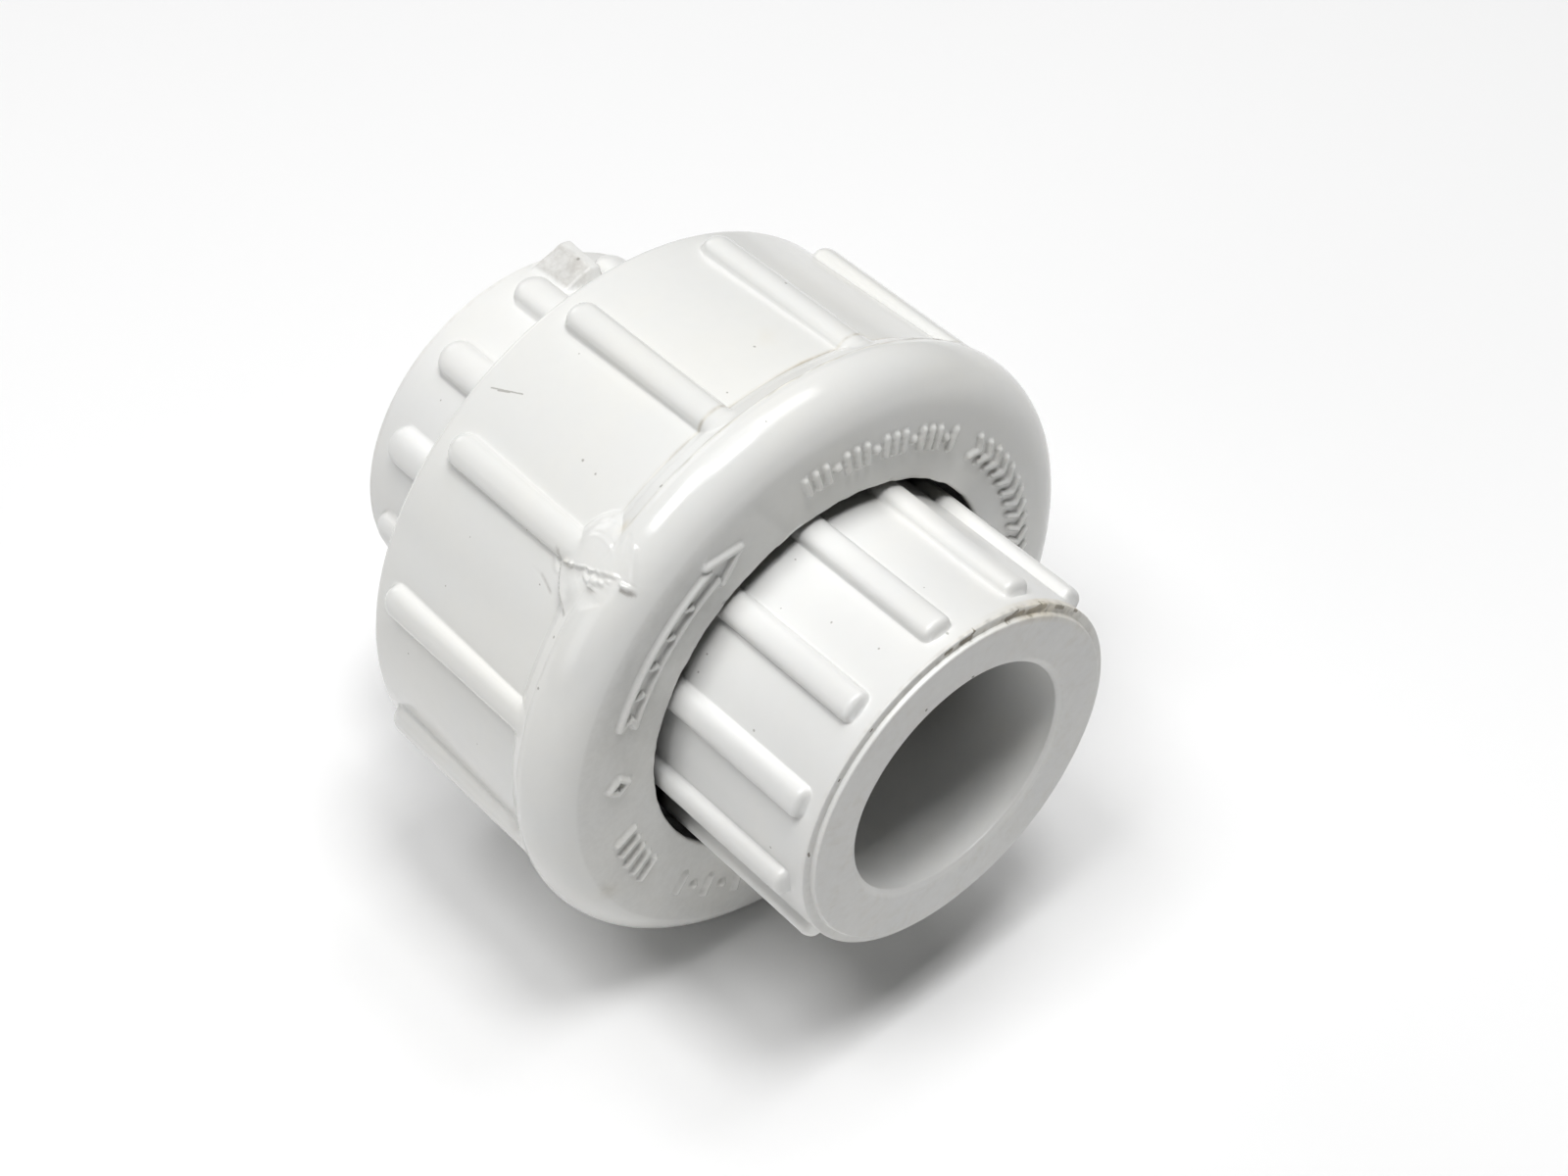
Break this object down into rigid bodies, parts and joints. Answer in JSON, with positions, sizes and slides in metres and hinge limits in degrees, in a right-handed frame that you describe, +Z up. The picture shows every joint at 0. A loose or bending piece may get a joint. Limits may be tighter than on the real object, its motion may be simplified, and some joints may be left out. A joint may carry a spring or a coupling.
{
  "type": "pipe union",
  "caption": "White plastic pipe union with solvent-weld sockets: a threaded body and a ribbed tail piece drawn together by a ribbed union nut onto an O-ring.",
  "frame": {"origin": "on the pipe axis, midway between the two hub faces, with the union made up", "axes": "+X along the pipe axis towards the tail piece, +Z up, so the union lies on its side as it does in a trench or on a bench"},
  "size_m": [0.0564, 0.0566, 0.0566],
  "materials": {
    "white_pvc": "white rigid PVC, as moulded, softly glossy with slight handling marks",
    "white_pvc_nut": "white rigid PVC, as moulded, softly glossy, fine flow marks and scuffs",
    "seal_rubber": "black EPDM rubber, smooth moulded, satin"
  },
  "bodies": {
    "threaded_end": {"threaded_body": "white_pvc"},
    "seal": {"o_ring": "seal_rubber"},
    "nut": {"union_nut": "white_pvc_nut"},
    "tail": {"tail_piece": "white_pvc"}
  },
  "joints": [
    {"name": "tail_travel", "type": "slide", "parent": "threaded_end", "child": "seal", "axis": [1, 0, 0], "range_m": [0, 0.01032]},
    {"name": "nut_turn", "type": "hinge", "parent": "seal", "child": "nut", "pos_m": [0, 0, 0], "axis": [1, 0, 0], "range_deg": [0, 1170]},
    {"name": "tail_spin", "type": "hinge", "parent": "seal", "child": "tail", "pos_m": [0, 0, 0], "axis": [1, 0, 0], "continuous": true}
  ],
  "couplings": [
    {"joint": "nut_turn", "follows": "tail_travel", "rad_per_m": 1979}
  ]
}
